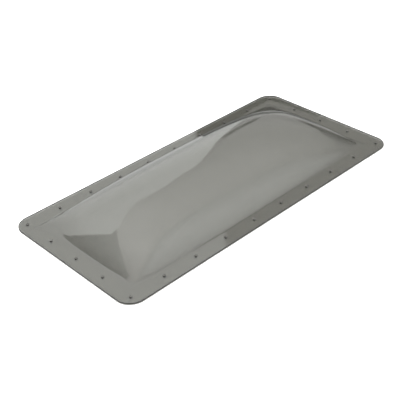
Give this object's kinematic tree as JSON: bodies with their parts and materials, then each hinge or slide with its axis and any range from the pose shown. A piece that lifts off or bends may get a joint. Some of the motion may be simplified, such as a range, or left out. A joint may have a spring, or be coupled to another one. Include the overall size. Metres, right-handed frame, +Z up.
{
  "type": "roof skylight dome",
  "caption": "Long low smoked skylight dome with a flat drilled flange, butyl sealing tape under the flange and pan-head screws, for a caravan or motorhome roof opening.",
  "frame": {"origin": "middle of the footprint, on the roof skin: the underside of the sealing tape", "axes": "+X along the length, +Y across the width, +Z up away from the roof"},
  "size_m": [0.8508, 0.4064, 0.1034],
  "materials": {
    "smoked_sheet": "gloss",
    "butyl_tape": "matt",
    "screw_steel": "satin"
  },
  "bodies": {
    "root": {"dome_shell": "smoked_sheet", "seal_front": "butyl_tape", "seal_back": "butyl_tape", "seal_left": "butyl_tape", "seal_right": "butyl_tape", "screws_front": "screw_steel", "screws_back": "screw_steel", "screws_left": "screw_steel", "screws_right": "screw_steel"}
  },
  "joints": []
}
